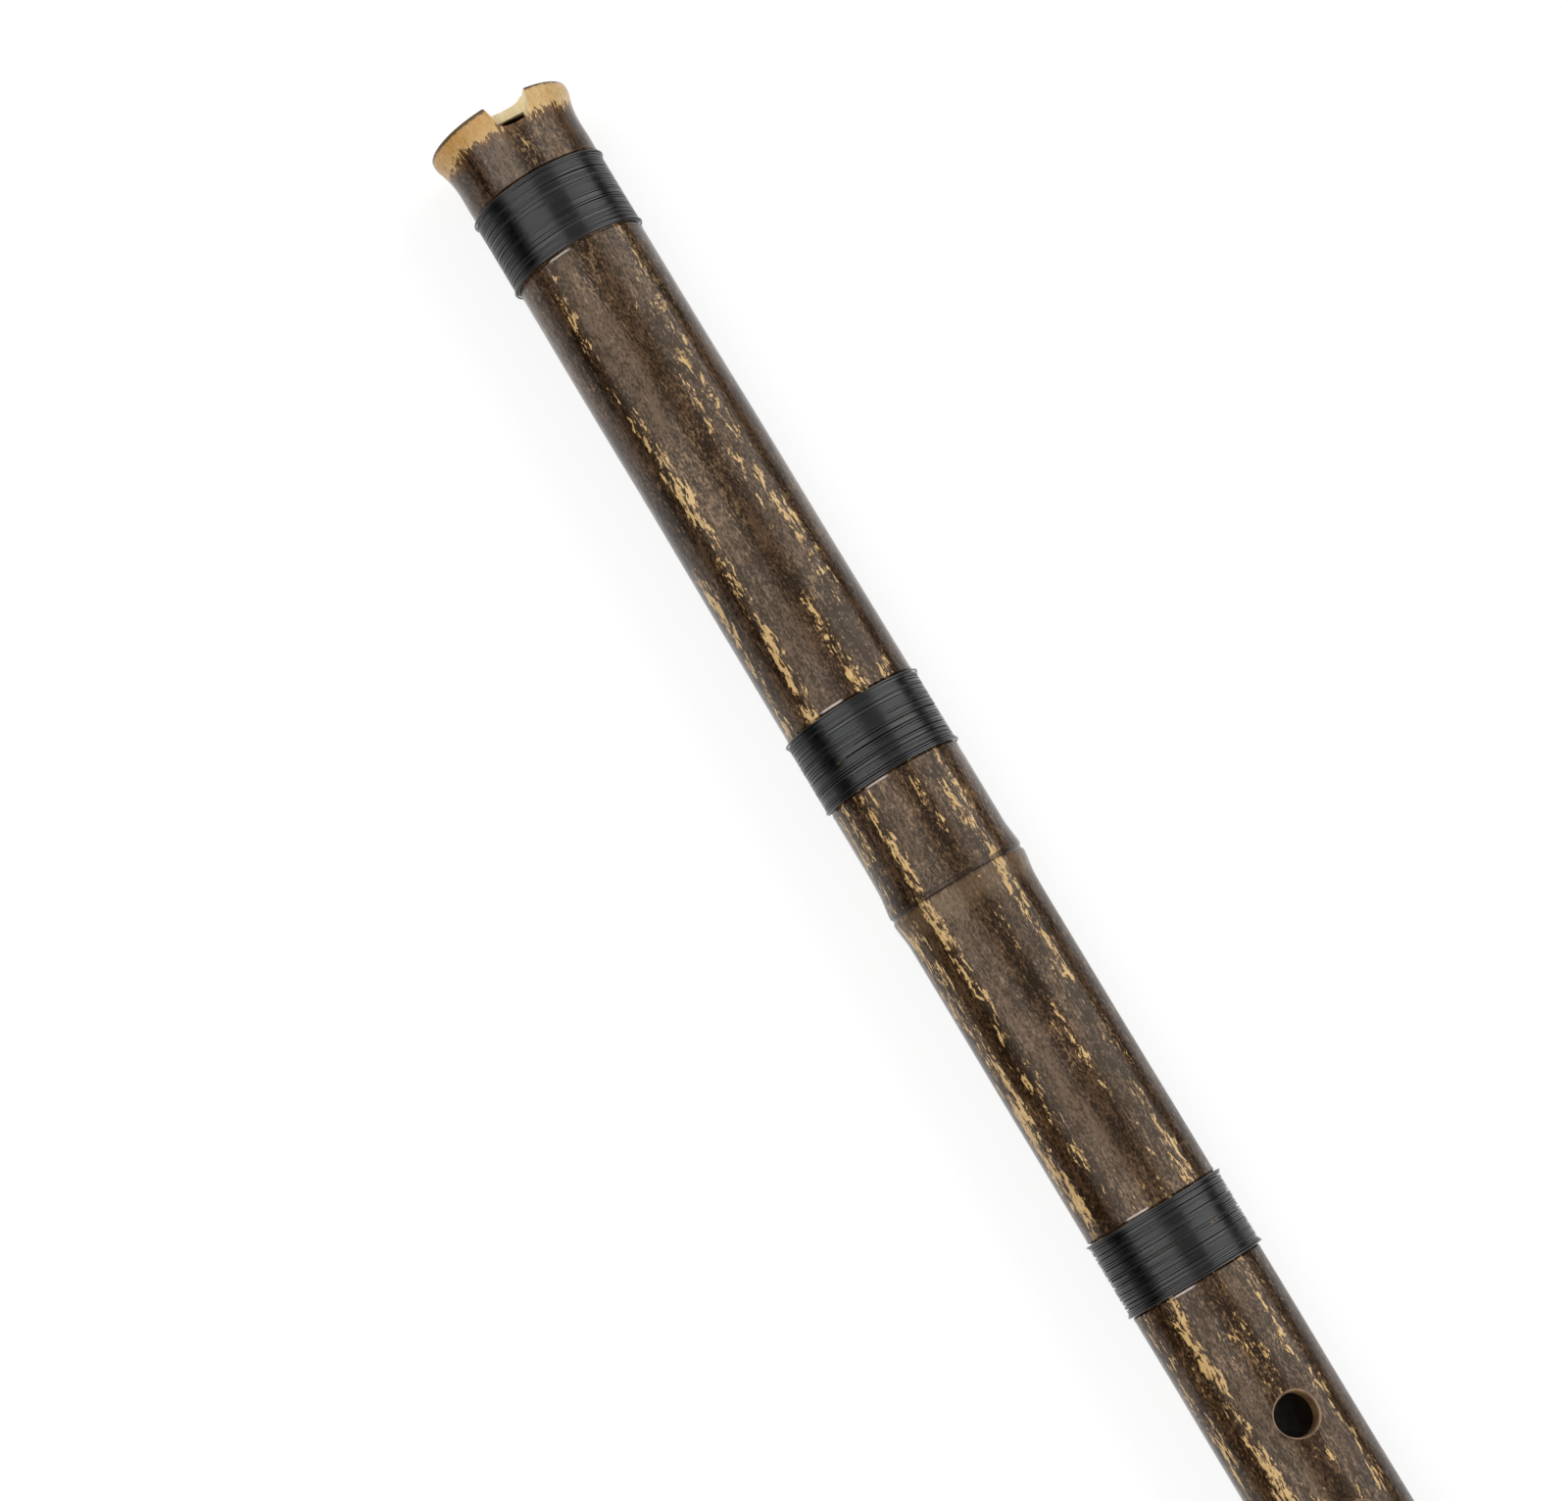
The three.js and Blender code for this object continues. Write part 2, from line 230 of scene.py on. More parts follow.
GRAIN_TWIST = math.radians(0.7)
GRAIN_TWIST_PERIOD = 23.0

SKIN, FLESH, HOLE_WALL, BORE = range(4)


def bore_stations():
    """Distances at which the bore has a ring, from the foot to the mouth, closest at the joints' ridges."""
    places = list(np.arange(BORE_SPACING, LENGTH - 4, BORE_SPACING))
    for joint in JOINTS:
        places = [place for place in places if abs(place - joint) > 3]
        places += [joint + step for step in range(-2, 3)]
    return sorted(places, reverse=True)


def culm_mesh():
    """The turned body as points and faces, from the middle of the mouth end, out and back along the bore."""
    angles = angles_round()
    count = len(angles)
    rings, parts = [], []

    def ring(radius, distance, part):
        turned = angles + GRAIN_TWIST * math.sin(distance / GRAIN_TWIST_PERIOD)
        x = np.full(count, (LENGTH / 2 - distance) * MM)
        y, z = radius * np.sin(turned) * MM, radius * np.cos(turned) * MM + AXIS_HEIGHT
        rings.append(np.stack([x, y, z], axis=1))
        parts.append(part)

    for radius in WALL_RINGS:
        ring(radius, SEPTUM_TOP, FLESH)
    for radius, distance in (*DISH_EDGE, *((radius, 0) for radius in MOUTH_FACE)):
        ring(radius, distance, FLESH)
    rim = []
    for turn in np.linspace(0, math.pi / 2, RIM_EDGE_RINGS, endpoint=False):
        rim.append((RIM_RADIUS - RIM_EDGE * (1 - math.sin(turn)), RIM_EDGE * (1 - math.cos(turn))))
    for radius, distance in rim:
        ring(radius, distance, SKIN)
    for distance in stations():
        ring(skin_radius(distance, angles), distance, SKIN)
    for radius, distance in reversed(rim):
        ring(radius, LENGTH - distance, SKIN)
    for radius in FOOT_FACE:
        ring(radius, LENGTH, FLESH)
    for added, distance in BORE_EDGE:
        ring(BORE_RADIUS + added, LENGTH - distance, FLESH)
    ring(BORE_RADIUS, LENGTH - BORE_EDGE_LENGTH, BORE)
    for distance in bore_stations():
        ridge = sum(float(bump((distance - joint) / BORE_RIDGE_HALF_WIDTH)) for joint in JOINTS)
        ring(BORE_RADIUS - BORE_RIDGE * ridge, distance, BORE)
    for added, distance in WALL_FILLET:
        ring(BORE_RADIUS + added, SEPTUM_BOTTOM + distance, BORE)
    ring(WALL_BACK, SEPTUM_BOTTOM, BORE)

    top = (LENGTH / 2 - SEPTUM_TOP) * MM, 0, AXIS_HEIGHT
    bottom = (LENGTH / 2 - SEPTUM_BOTTOM) * MM, 0, AXIS_HEIGHT
    points = np.concatenate([*rings, [top, bottom]])
    first, last = len(points) - 2, len(points) - 1
    faces, index = [], []
    for k in range(len(rings) - 1):
        for i in range(count):
            a, b = k * count + i, k * count + (i + 1) % count
            faces.append((a, b, b + count, a + count))
            index.append(parts[k + 1])
    end = (len(rings) - 1) * count
    for i in range(count):
        faces.append((first, (i + 1) % count, i))
        index.append(FLESH)
        faces.append((last, end + i, end + (i + 1) % count))
        index.append(BORE)
    return points, faces, index


def mesh_object(name, points, faces, index=None):
    """An object in the scene, its faces pointing outwards, with a material index for each face if given."""
    mesh = bpy.data.meshes.new(name)
    mesh.from_pydata([tuple(p) for p in points], [], faces)
    if index is not None:
        mesh.polygons.foreach_set("material_index", index)
    shape = bmesh.new()
    shape.from_mesh(mesh)
    bmesh.ops.recalc_face_normals(shape, faces=shape.faces)
    shape.to_mesh(mesh)
    shape.free()
    piece = bpy.data.objects.new(name, mesh)
    bpy.context.scene.collection.objects.link(piece)
    return piece


# The blowing notch and its lip, as solids to be cut away. The lip's edge is thinned from inside the bore.
NOTCH_HALF_AT_RIM = 4.35
NOTCH_HALF_AT_LIP = 3.2
NOTCH_SIDE_DEPTH = 4.0
NOTCH_DEPTH = 5.2
NOTCH_FLOOR = 9.0
LIP_POINTS = 29
LIP_THICKNESS = 0.9
LIP_BEVEL_LENGTH = 8.0
LIP_BEVEL_HALF = 3.1
LIP_BEVEL_BOTTOM = BORE_RADIUS - 1.5
CUT_PAST = 2.0


def prism(name, outline, low, high, axis, part):
    """A closed solid: an outline of distance and other side, drawn out from low to high along an axis."""
    points = []
    for value in (low, high):
        for distance, other in outline:
            y, z = (other, value) if axis == "Z" else (value, other)
            points.append(((LENGTH / 2 - distance) * MM, y * MM, AXIS_HEIGHT + z * MM))
    count = len(outline)
    faces = [tuple(range(count)), tuple(range(2 * count - 1, count - 1, -1))]
    faces += [(i, (i + 1) % count, count + (i + 1) % count, count + i) for i in range(count)]
    return mesh_object(name, points, faces, [part] * len(faces))


lip_curve = [
    (NOTCH_SIDE_DEPTH + (NOTCH_DEPTH - NOTCH_SIDE_DEPTH) * math.cos(t), NOTCH_HALF_AT_LIP * math.sin(t))
    for t in np.linspace(math.pi / 2, -math.pi / 2, LIP_POINTS)
]
notch_outline = [(-CUT_PAST, NOTCH_HALF_AT_RIM), (0, NOTCH_HALF_AT_RIM), *lip_curve]
notch_outline += [(0, -NOTCH_HALF_AT_RIM), (-CUT_PAST, -NOTCH_HALF_AT_RIM)]
lip_height = RADIUS_AT_MOUTH - LIP_THICKNESS
bevel_outline = [
    (SEPTUM_BOTTOM, LIP_BEVEL_BOTTOM),
    (SEPTUM_BOTTOM, lip_height),
    (NOTCH_DEPTH, lip_height),
    (NOTCH_DEPTH + LIP_BEVEL_LENGTH, LIP_BEVEL_BOTTOM),
]
cutters = [
    prism("notch_cut", notch_outline, NOTCH_FLOOR, RIM_RADIUS + CUT_PAST, "Z", FLESH),
    prism("lip_cut", bevel_outline, -LIP_BEVEL_HALF, LIP_BEVEL_HALF, "Y", FLESH),
]

# The finger holes: seven in front, a thumb hole and two vents behind. Each hole's edge is rounded for the
# fingertip, and follows the round of the culm.
FRONT_HOLES = (276.0, 298.0, 328.0, 368.0, 416.0, 440.0, 497.0)
BACK_HOLES = ((262.0, 4.0), (560.0, 3.4), (612.0, 3.4))
FINGER_HOLE_RADIUS = 4.0
HOLE_SINK = 0.03
HOLE_EASE = 0.55
HOLE_EASE_DEGREES = (15, 30, 45, 60, 68)
HOLE_BRIM = 1.5
HOLE_PAST = 3.0
HOLE_SEGMENTS = 56


def hole_cut(distance, radius, side):
    """A round cutter from inside the bore out past the skin, on the top (side 1) or the bottom (side -1)."""
    surface = float(round_radius(np.array(distance))) - HOLE_SINK
    profile = [(radius, BORE_RADIUS * 0.5), (radius, surface - HOLE_EASE)]
    for turn in np.radians(HOLE_EASE_DEGREES):
        out = radius + HOLE_EASE * (1 - math.cos(turn))
        up = surface - HOLE_EASE * (1 - math.sin(turn))
        profile.append((out, up))
    brim = out + HOLE_BRIM * math.sin(turn)
    profile += [(brim, up + HOLE_BRIM * math.cos(turn)), (brim, up + HOLE_PAST)]
    points = []
    for reach, height in profile:
        for step in range(HOLE_SEGMENTS):
            turn = 2 * math.pi * step / HOLE_SEGMENTS
            across = reach * math.sin(turn)
            drop = surface - math.sqrt(surface**2 - across**2) if height > surface - 2 * HOLE_EASE else 0
            x = LENGTH / 2 - distance + reach * math.cos(turn)
            points.append((x * MM, across * MM, AXIS_HEIGHT + (height - drop) * side * MM))
    faces = []
    for k in range(len(profile) - 1):
        for i in range(HOLE_SEGMENTS):
            a, b = k * HOLE_SEGMENTS + i, k * HOLE_SEGMENTS + (i + 1) % HOLE_SEGMENTS
            faces.append((a, b, b + HOLE_SEGMENTS, a + HOLE_SEGMENTS))
    faces.append(tuple(range(HOLE_SEGMENTS)))
    faces.append(tuple((len(profile) - 1) * HOLE_SEGMENTS + i for i in reversed(range(HOLE_SEGMENTS))))
    return mesh_object("hole_cut", points, faces, [HOLE_WALL] * len(faces))


cutters += [hole_cut(distance, FINGER_HOLE_RADIUS, 1) for distance in FRONT_HOLES]
cutters += [hole_cut(distance, radius, -1) for distance, radius in BACK_HOLES]


# Material nodes: arithmetic on a Wire adds Math nodes, and Wire.node adds any other node.
class Wire:
    def __init__(self, tree, socket):
        self.tree, self.socket = tree, socket

    @classmethod
    def node(cls, tree, kind, settings=None, inputs=None, output=0):
        """A new node with its settings made first, then its sockets' values or links. Gives one output."""
        made = tree.nodes.new(kind)
        for name, value in (settings or {}).items():
            setattr(made, name, value)
        for name, value in (inputs or {}).items():
            if isinstance(value, Wire):
                tree.links.new(value.socket, made.inputs[name])
            elif getattr(made.inputs[name], "type", "") == "RGBA" and len(value) == 3:
                made.inputs[name].default_value = (*value, 1)
            else:
                made.inputs[name].default_value = value
        return cls(tree, made.outputs[output]) if len(made.outputs) else None

    def beside(self, output):
        """Another output of the same node."""
        return Wire(self.tree, self.socket.node.outputs[output])

    def math(self, operation, *others):
        inputs = dict(enumerate((self, *others)))
        return Wire.node(self.tree, "ShaderNodeMath", {"operation": operation}, inputs)

    def vector(self, operation, *others, output=0):
        inputs = dict(enumerate((self, *others)))
        return Wire.node(self.tree, "ShaderNodeVectorMath", {"operation": operation}, inputs, output)

    def __add__(self, other):
        return self.math("ADD", other)

    def __sub__(self, other):
        return self.math("SUBTRACT", other)

    def __mul__(self, other):
        return self.math("MULTIPLY", other)

    def __truediv__(self, other):
        return self.math("DIVIDE", other)

    def __rsub__(self, other):
        return Wire.node(self.tree, "ShaderNodeMath", {"operation": "SUBTRACT"}, {0: other, 1: self})

    def __rtruediv__(self, other):
        return Wire.node(self.tree, "ShaderNodeMath", {"operation": "DIVIDE"}, {0: other, 1: self})

    __radd__, __rmul__ = __add__, __mul__

    def step(self, low, high):
        """0 below low, 1 above high, and a smooth rise between them."""
        settings = {"interpolation_type": "SMOOTHSTEP"}
        inputs = {"Value": self, "From Min": low, "From Max": high}
        return Wire.node(self.tree, "ShaderNodeMapRange", settings, inputs)

    def tint(self, dark, light):
        """The colour dark where this is 0 and light where it is 1."""
        settings = {"data_type": "RGBA"}
        return Wire.node(self.tree, "ShaderNodeMix", settings, {0: self, 6: dark, 7: light}, output=2)

    def grain(self, size, seed, detail=2.0, roughness=0.55, kind="Fac"):
        """Noise on this place, size in millimetres along X, Y and Z."""
        place = self.vector("MULTIPLY", tuple(1 / (s * MM) for s in size))
        place = place.vector("ADD", (seed * 7.31, seed * 3.17, seed * 5.03))
        inputs = {"Vector": place, "Scale": 1.0, "Detail": detail, "Roughness": roughness}
        return Wire.node(self.tree, "ShaderNodeTexNoise", inputs=inputs, output=kind)


def greatest(wires):
    """The greatest of several values at each place."""
    most = wires[0]
    for wire in wires[1:]:
        most = most.math("MAXIMUM", wire)
    return most


def new_material(name):
    """A material with only its Principled shader, and a place on the piece to start from."""
    material = bpy.data.materials.new(name)
    material.use_nodes = True
    tree = material.node_tree
    shader = tree.nodes["Principled BSDF"]
    return material, tree, shader, Wire.node(tree, "ShaderNodeTexCoord", output="Object")


def plug(tree, shader, **sockets):
    """Link or set the shader's sockets, named with underscores for spaces."""
    for name, value in sockets.items():
        socket = shader.inputs[name.replace("_", " ")]
        if isinstance(value, Wire):
            tree.links.new(value.socket, socket)
        else:
            socket.default_value = (*value, 1) if isinstance(value, tuple) else value


def relief(tree, height, depth):
    """A bump normal from a height of 0 to 1, depth in millimetres."""
    inputs = {"Height": height, "Distance": depth * MM, "Strength": 1.0}
    return Wire.node(tree, "ShaderNodeBump", inputs=inputs)


# The skin's colours, as the stain and the bamboo's own mottling give them; the last is a painted highlight.
STAIN_DARK = (0.0125, 0.0062, 0.0030)
STAIN_BROWN = (0.078, 0.042, 0.020)
STAIN_LIGHT = (0.20, 0.12, 0.055)
HALO = (0.15, 0.066, 0.018)
GOLD = (0.51, 0.325, 0.130)
GOLD_PALE = (0.62, 0.43, 0.20)
GOLD_TAN = (0.44, 0.225, 0.055)
FIBRE_TAN = (0.36, 0.18, 0.045)
FIBRE_BROWN = (0.24, 0.125, 0.04)
JOINT_PALE = (0.30, 0.20, 0.11)
RIM_LINE = (0.045, 0.028, 0.017)
PAINTED_HIGHLIGHT_PALE = (0.66, 0.56, 0.51)

# Each chain of gold patches runs along the culm: angle from the top, half width, where it starts, strength.
MOTTLE_CHAINS = (
    (44.0, 1.9, 16.0, 1.0),
    (-28.0, 2.0, 31.0, 0.87),
    (67.0, 1.3, 84.0, 0.95),
    (81.0, 2.3, 80.0, 1.0),
    (-4.0, 1.5, 26.0, 0.74),
    (104.0, 1.8, 95.0, 1.0),
    (150.0, 2.0, 60.0, 0.95),
    (201.0, 2.0, 80.0, 1.0),
    (-82.0, 1.8, 70.0, 0.9),
)
CHAIN_WANDER = 6.0
CHAIN_FADE_IN = 6.0
CHAIN_GROWTH = 26.0
PATCH_DRIFT = (1.2 * MM, 2.2 * MM, 2.2 * MM)

# The gold's width at the mouth end, how much wider it is at the foot, and how far the stain's tips reach.
GOLD_WIDTH = 4.6
GOLD_WIDER_AT_FOOT = 1.6
TIP_REACH = 8.5
TIP_REACH_ADDED_AT_FOOT = 2.5

# The scored lines beside each crease: how far away, and how strong.
SCORES = ((-0.45, 0.5), (0.05, 1.0), (0.5, 0.7))

# The side on which a painted highlight of the lacquer runs beside the bindings.
PAINTED_HIGHLIGHT_ANGLE = math.radians(26)
PAINTED_HIGHLIGHT_HALF_ANGLE = math.radians(12)
PAINTED_HIGHLIGHT_FIRST_PLACE = 20.0


class Skin:
    """Where a point of the skin is on the flute, in millimetres, and the grain that its finishes share."""

    def __init__(self, tree, place):
        parts = Wire.node(tree, "ShaderNodeSeparateXYZ", inputs={"Vector": place})
        self.place = place
        self.along = LENGTH / 2 - parts / MM
        self.y, self.z = parts.beside("Y") / MM, (parts.beside("Z") - AXIS_HEIGHT) / MM
        self.out = (self.y * self.y + self.z * self.z).math("SQRT")
        self.from_end = self.along.math("MINIMUM", LENGTH - self.along)
        self.speckle = place.grain((0.75, 0.33, 0.33), seed=1, detail=3, roughness=0.6)
        self.blotch = place.grain((2.6, 0.9, 0.9), seed=2, detail=3)
        self.cloud = place.grain((14, 4, 4), seed=3)
        self.fibre = place.grain((9, 0.16, 0.16), seed=4, detail=3, roughness=0.6)
        self.gate = place.grain((22, 7, 7), seed=9, detail=1)
        drift = place.grain((7, 2.6, 2.6), seed=5, kind="Color").vector("SUBTRACT", (0.5, 0.5, 0.5))
        self.warped = place.vector("ADD", drift.vector("MULTIPLY", PATCH_DRIFT))

    def facing(self, angle):
        """1 where the skin faces an angle from the top, and -1 on the far side."""
        return (self.y * math.sin(angle) + self.z * math.cos(angle)) / self.out


def mottling(skin):
    """How ripe the mottling is, and its level, which turns the stain to gold where it is high."""
    chains = []
    for i, (degrees, half_width, start, strength) in enumerate(MOTTLE_CHAINS):
        wander = (skin.place.grain((55, 400, 400), seed=11 + i, detail=1) - 0.5) * CHAIN_WANDER
        angle = math.radians(degrees)
        across = (skin.z * math.sin(angle) - skin.y * math.cos(angle)) + wander
        near = 1 - (across / half_width).math("ABSOLUTE").step(0.35, 1.6)
        near = near * skin.facing(angle).step(0.0, 0.3) * skin.along.step(start - CHAIN_FADE_IN, start)
        near = near * (0.42 + skin.along.step(start, start + CHAIN_GROWTH) * 0.58)
        chains.append(near * strength)
    ripe = greatest(chains)

    # Towards the foot the mottling is all round the culm.
    everywhere = skin.along.step(120, 420) * 0.20 + skin.along.step(420, 640) * 0.06
    mass = skin.warped.grain((5.5, 1.4, 1.4), seed=6)
    fleck = skin.warped.grain((2.1, 0.5, 0.5), seed=7, detail=3, roughness=0.6)
    ragged = skin.warped.grain((0.7, 0.2, 0.2), seed=8)
    level = (mass - 0.5) + (fleck - 0.5) * 1.2 + (ragged - 0.5) * 0.5 + (skin.gate - 0.5) * 0.8
    return ripe, level + (ripe * 0.41).math("MAXIMUM", everywhere + ripe * 0.14)


def bare_ends(skin, stained):
    """The unstained ends: gold, with flame-shaped tips of stain running into it. Gives colour and mask."""
    to_foot = skin.along.step(LENGTH - 60, LENGTH - 20)
    tips = skin.place.grain((1.9, 0.5, 0.5), seed=10, detail=4, roughness=0.65)
    sweep = skin.place.grain((12, 5, 5), seed=20, detail=1)
    edge = skin.from_end - (GOLD_WIDTH + to_foot * GOLD_WIDER_AT_FOOT)
    edge = edge - (tips - 0.5) * (TIP_REACH + to_foot * TIP_REACH_ADDED_AT_FOOT) - (sweep - 0.5) * 3.0
    mask = 1 - edge.step(-0.14, 0.14)
    halo = 1 - edge.step(-0.1, 2.2)
    islands = skin.warped.grain((1.1, 0.5, 0.5), seed=21).step(0.70, 0.76) * skin.from_end.step(2.2, 4.5)

    # The gold is painted tan towards +Y and pale towards -Y: painted shade and painted light by side.
    painted_shade_side = (skin.y / skin.out + (skin.blotch - 0.5) * 1.2).step(-0.6, 0.8)
    bare = painted_shade_side.tint(GOLD_PALE, GOLD_TAN)
    bare = (skin.speckle * 0.5 + skin.blotch * 0.5).step(0.40, 0.60).tint(GOLD, bare)
    bare = (skin.fibre.step(0.45, 0.62) * 0.5).tint(bare, FIBRE_TAN)
    bare = ((skin.speckle + skin.fibre * 0.5).step(0.86, 0.98) * 0.5).tint(bare, FIBRE_BROWN)
    bare = (skin.from_end.step(2.6, 5.0) * 0.45).tint(bare, GOLD_PALE)
    bare = (islands * 0.8).tint(bare, STAIN_BROWN)
    colour = (halo * (0.2 + 0.9 * skin.fibre)).tint(stained, HALO)
    colour = mask.tint(colour, bare)
    # The dark line round the rim is painted stronger on the painted shade side.
    line = 1 - (skin.from_end + (skin.blotch - 0.5) * 1.2 + (1 - painted_shade_side) * 0.25).step(0.75, 1.1)
    return (line * 0.85).tint(colour, RIM_LINE), mask


def joint_scars(skin, colour):
    """At each joint, a thin dark scar with a paler band on its foot side."""
    for joint in JOINTS:
        offset = skin.along - joint
        band = offset.step(0.2, 1.2) * (1 - offset.step(3.5, 7.0))
        colour = (band * (0.10 + skin.cloud * 0.25)).tint(colour, JOINT_PALE)
        scar = 1 - offset.math("ABSOLUTE").step(0.25, 0.75)
        colour = (scar * 0.8).tint(colour, STAIN_DARK)
    return colour


def scored_lines(skin):
    """Fine scored lines along the creases of the flats, which change sides at each joint."""
    sign = 1
    for joint in JOINTS:
        sign = sign * (1 - 2 * (skin.along - joint).math("GREATER_THAN", 0))
    away = (skin.facing(FIRST_FLAT_ANGLE) * sign).math("ARCCOSINE") - FLAT_HALF_ANGLE
    across = away * skin.out + (skin.blotch - 0.5) * 0.35 + 0.15 * (skin.along * 0.07).math("SINE")
    lines = []
    for offset, strength in SCORES:
        lines.append((1 - (across - offset).math("ABSOLUTE").step(0.03, 0.13)) * strength)
    return greatest(lines) * (skin.cloud + skin.blotch - 0.45).step(0.3, 0.7)


def painted_highlight_by_bindings(skin):
    """Painted highlight of the lacquer by each binding, on one side, but not above the first binding."""
    highlight_lines = []
    for _, start, width, _ in BINDINGS:
        outside = (start - skin.along).math("MAXIMUM", skin.along - (start + width))
        highlight_lines.append(outside.step(0.05, 0.25) * (1 - outside.step(0.45, 0.65)))
    side = skin.facing(PAINTED_HIGHLIGHT_ANGLE).step(math.cos(PAINTED_HIGHLIGHT_HALF_ANGLE), math.cos(PAINTED_HIGHLIGHT_HALF_ANGLE / 2))
    return greatest(highlight_lines) * side * skin.along.step(PAINTED_HIGHLIGHT_FIRST_PLACE, PAINTED_HIGHLIGHT_FIRST_PLACE + 4)


def skin_material():
    """Dark stain broken by gold mottling, under lacquer that is glossier on the lighter grain."""
    material, tree, shader, place = new_material("lacquered_bamboo_skin")
    skin = Skin(tree, place)
    ripe, level = mottling(skin)
    gold_mask = level.step(0.465, 0.495)
    tone = skin.speckle * 0.56 + skin.blotch * 0.26 + skin.fibre * 0.18
    tone = tone + (skin.cloud - 0.5) * 0.30 - ripe * 0.045
    light = skin.speckle + (skin.blotch - 0.5) * 0.7 + (skin.fibre - 0.5) * 0.4 + (skin.gate - 0.5) * 0.5

    stain = tone.step(0.43, 0.58).tint(STAIN_DARK, STAIN_BROWN)
    stain = (light.step(0.62, 0.72) * 0.75).tint(stain, STAIN_LIGHT)
    stain = (level.step(0.36, 0.485) * 0.6).tint(stain, HALO)
    gold = (skin.cloud * 0.4 + skin.speckle * 0.6).step(0.40, 0.62).tint(GOLD, GOLD_PALE)
    colour, end_mask = bare_ends(skin, gold_mask.tint(stain, gold))
    colour = joint_scars(skin, colour)
    scored = scored_lines(skin) * (1 - end_mask)
    colour = (scored * 0.6).tint(colour, STAIN_DARK)
    # A pale line beside the bindings on one side: a painted highlight of the lacquer's gloss.
    colour = (painted_highlight_by_bindings(skin) * (0.55 + skin.speckle * 0.5)).tint(colour, PAINTED_HIGHLIGHT_PALE)

    # Near the two ends the lacquer is thicker on the side of the painted highlight, and thinner elsewhere.
    thick = (1 - skin.from_end.step(13, 28)) * (1 - end_mask)
    thick = thick * (skin.facing(PAINTED_HIGHLIGHT_ANGLE).step(0.55, 0.97) - 0.5)
    lacquer = ((tone * 0.6 + light * 0.4).step(0.36, 0.66) * 0.26 + thick * 0.28).math("MAXIMUM", 0)
    rough = 0.14 + skin.fibre * 0.05 + gold_mask * 0.03 + end_mask * 0.12 + skin.cloud * 0.03
    height = skin.fibre * 0.45 + skin.speckle * 0.8 + skin.blotch * 0.6 - scored * 0.8
    plug(tree, shader, Base_Color=colour, Roughness=rough, Normal=relief(tree, height, 0.035))
    plug(tree, shader, IOR=1.5, Specular_IOR_Level=0.18, Specular_Tint=(1.0, 0.80, 0.60))
    plug(tree, shader, Coat_Weight=lacquer, Coat_Roughness=0.14, Coat_IOR=1.5)
    return material


# Cut bamboo shows the ends of its fibres as dots. Each cut has a pale and a deep colour and a roughness.
CUT_BAMBOO = ("cut_bamboo", (0.90, 0.80, 0.54), (0.82, 0.66, 0.38), 0.42)
HOLE_WALL_BAMBOO = ("hole_wall_bamboo", (0.20, 0.115, 0.052), (0.095, 0.05, 0.022), 0.38)
# The bore's own dark brown, made darker still as painted shade for the inside seen through the notch.
BORE_BAMBOO_PAINTED_SHADE = ("bore_bamboo_painted_shade", (0.060, 0.035, 0.019), (0.028, 0.016, 0.009), 0.4)
STRANDS_PER_METRE = (30, 1500, 1500)
DOT_DEPTH = 0.42


def flesh_material(name, pale, deep, rough):
    material, tree, shader, place = new_material(name)
    strand = place.vector("MULTIPLY", STRANDS_PER_METRE)
    settings = {"feature": "F1"}
    dots = Wire.node(tree, "ShaderNodeTexVoronoi", settings, {"Vector": strand, "Scale": 1.0})
    cloud = place.grain((3, 1.6, 1.6), seed=31)
    colour = cloud.step(0.35, 0.65).tint(pale, deep)
    dot = 1 - dots.step(0.12, 0.34)
    colour = (dot * 0.45).tint(colour, tuple(DOT_DEPTH * c for c in deep))
    height = dot * 0.8 + place.grain((6, 0.3, 0.3), seed=32) * 0.7
    plug(tree, shader, Base_Color=colour, Roughness=rough + cloud * 0.15, Normal=relief(tree, height, 0.025))
    return material


# The cutting solids take the body's materials in the same order, so that each cut face keeps its own finish.
bamboo = mesh_object("bamboo", *culm_mesh())
materials = [skin_material()]
materials += [flesh_material(*cut) for cut in (CUT_BAMBOO, HOLE_WALL_BAMBOO, BORE_BAMBOO_PAINTED_SHADE)]
for material in materials:
    bamboo.data.materials.append(material)
    for cutter in cutters:
        cutter.data.materials.append(material)
for cutter in cutters:
    cut = bamboo.modifiers.new("cut", "BOOLEAN")
    cut.operation, cut.solver, cut.object = "DIFFERENCE", "MANIFOLD", cutter
view = bpy.context.evaluated_depsgraph_get()
whole = bpy.data.meshes.new_from_object(bamboo.evaluated_get(view))
bamboo.modifiers.clear()
bamboo.data = whole
whole.polygons.foreach_set("use_smooth", [True] * len(whole.polygons))
whole.set_sharp_from_angle(angle=math.radians(38))
for cutter in cutters:
    bpy.data.objects.remove(cutter)
print(bamboo.name, len(whole.polygons), "faces")
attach(bamboo, "root")
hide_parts("bamboo_body")


# The bindings
# Each is one fine black waxed thread in a shallow seat: a close first layer, and a second one that changes
# sides of the band once a turn, so that its turns cross each other on one side of the flute.
THREAD = 0.2
THREAD_SIDES = 6
THREAD_PITCH = 0.405
THREAD_BLACK = (0.0010, 0.0010, 0.0011)
THREAD_WORN = (0.0026, 0.0026, 0.0028)
PLY_LENGTH = 1.1
ROW_LENGTH = 55.0
STEPS_PER_TURN = 96
EDGE_GAP = 0.05
TURN_JOG = 0.075
TURN_WAVER = 0.42
LAYER_RISE = 0.34
CROSSING_RISE = 0.8 * LAYER_RISE
CROSSING_HALF_ANGLE = math.radians(52)

# At the flute's sides the turns along the band's two edges stand up a little.
EDGE_LIFT = 0.42
EDGE_WIDTH = 0.9


